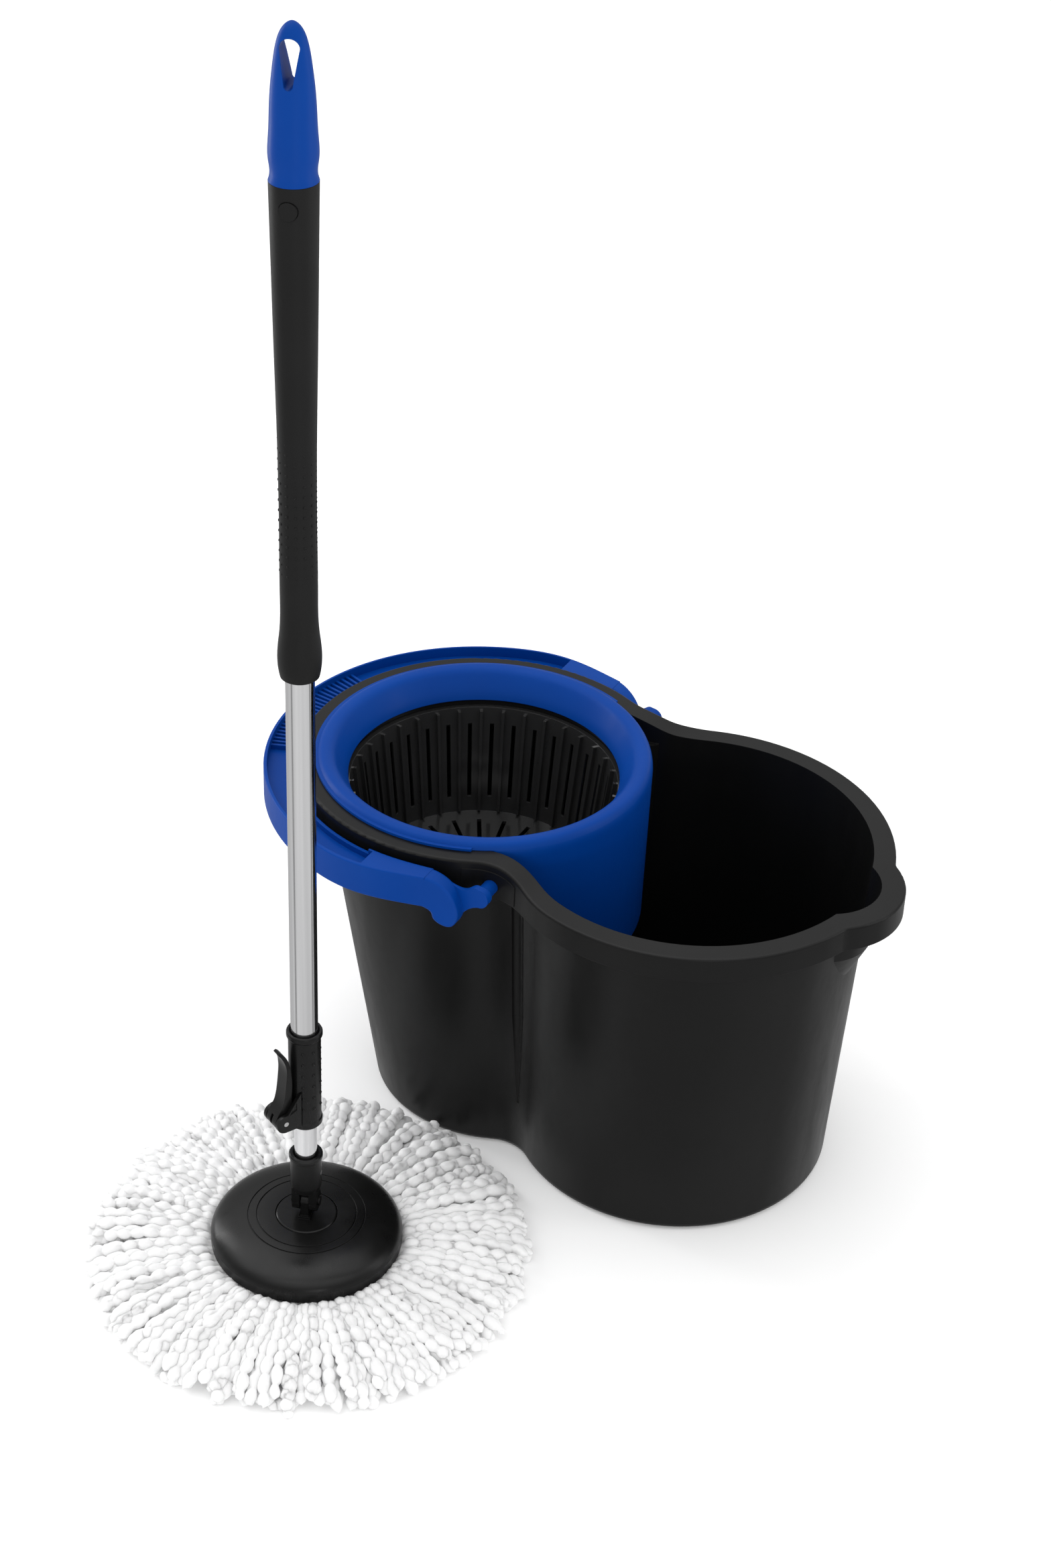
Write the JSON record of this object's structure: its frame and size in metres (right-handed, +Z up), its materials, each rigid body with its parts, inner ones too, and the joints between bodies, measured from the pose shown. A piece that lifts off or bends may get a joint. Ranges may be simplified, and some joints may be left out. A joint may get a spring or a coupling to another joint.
{
  "type": "spin mop",
  "caption": "Spin mop with a telescopic twist-drive stick and round yarn head, beside a two-lobe bucket with a spinning wringer basket, pouring lip and swinging bail.",
  "frame": {"origin": "middle of the bounding box of bucket, bail and mop, on the floor they stand on", "axes": "+Z up along the mop stick; +X along the bucket from the wringer side to the pouring lip; +Y from the mop towards the bucket"},
  "size_m": [0.547, 0.655, 1.0116],
  "materials": {
    "black_plastic": "satin black moulded plastic",
    "gloss_black": "glossy black moulded plastic",
    "blue_plastic": "satin deep blue moulded plastic",
    "black_grip": "soft black grip plastic",
    "chrome_tube": "polished chromed steel",
    "steel": "plain steel",
    "white_yarn": "white chenille microfibre yarn",
    "white_plastic": "natural white plastic"
  },
  "bodies": {
    "bucket_body": {"bucket": "black_plastic", "wringer_lip": "blue_plastic", "basket_cradle": "black_plastic", "basket_axle": "steel", "thrust_washer": "steel", "axle_clip": "steel"},
    "basket_body": {"spin_basket": "gloss_black", "basket_bush": "white_plastic", "basket_stud": "gloss_black"},
    "bail_body": {"bail_handle": "blue_plastic"},
    "refill_body": {"mop_strands": "white_yarn", "refill_ring": "white_plastic"},
    "plate_body": {"mop_plate": "black_plastic", "plate_hub": "black_plastic", "hub_retainer": "black_plastic"},
    "yoke_body": {"yoke": "black_plastic", "yoke_pin": "black_plastic", "tube_rivet": "steel", "lower_tube": "chrome_tube", "clutch_ring": "steel"},
    "carriage_body": {"guide_bush": "white_plastic", "nut_retainer": "white_plastic"},
    "nut_body": {"drive_nut": "white_plastic"},
    "stick_body": {"upper_tube": "chrome_tube", "clamp_collar": "black_plastic", "clamp_liner": "white_plastic", "lever_pin": "steel", "rod_anchor": "white_plastic", "anchor_rivet": "steel", "twist_rod": "steel", "rod_stop": "steel", "grip_sleeve": "black_grip", "hang_grip": "blue_plastic", "button_spring": "steel"},
    "lever_body": {"clamp_lever": "black_plastic"},
    "button_body": {"snap_button": "black_grip"}
  },
  "joints": [
    {"name": "basket_spin", "type": "hinge", "parent": "bucket_body", "child": "basket_body", "pos_m": [-0.0925, 0.149, 0.19], "axis": [0, 0, 1], "continuous": true},
    {"name": "bail_swing", "type": "hinge", "parent": "bucket_body", "child": "bail_body", "pos_m": [-0.0125, 0.149, 0.292], "axis": [0, 1, 0], "range_deg": [0, 155]},
    {"name": "mop_lift", "type": "slide", "parent": "bucket_body", "child": "refill_body", "axis": [0, -0.3, 0.9539], "range_m": [0, 0.4]},
    {"name": "plate_release", "type": "slide", "parent": "refill_body", "child": "plate_body", "axis": [0, 0, 1], "range_m": [0, 0.05]},
    {"name": "head_tilt", "type": "hinge", "parent": "plate_body", "child": "yoke_body", "pos_m": [-0.0845, -0.143, 0.058], "axis": [0.9511, 0.309, 0], "range_deg": [-12, 50]},
    {"name": "tube_spin", "type": "hinge", "parent": "yoke_body", "child": "carriage_body", "pos_m": [-0.0845, -0.143, 0.58], "axis": [0, 0, 1], "continuous": true},
    {"name": "handle_press", "type": "slide", "parent": "carriage_body", "child": "stick_body", "axis": [0, 0, 1], "range_m": [-0.025, 0.27]},
    {"name": "nut_spin", "type": "hinge", "parent": "carriage_body", "child": "nut_body", "pos_m": [-0.0845, -0.143, 0.577], "axis": [0, 0, 1], "range_deg": [-900, 100]},
    {"name": "lever_open", "type": "hinge", "parent": "stick_body", "child": "lever_body", "pos_m": [-0.09494, -0.16349, 0.153], "axis": [0.891, -0.454, 0], "range_deg": [0, 110]},
    {"name": "button_press", "type": "slide", "parent": "stick_body", "child": "button_body", "axis": [-0.309, 0.9511, 0], "range_m": [0, 0.002], "stiffness_N_per_m": 500, "springref_m": -0.002}
  ],
  "couplings": [
    {"joint": "nut_spin", "follows": "handle_press", "rad_per_m": -57.12}
  ]
}
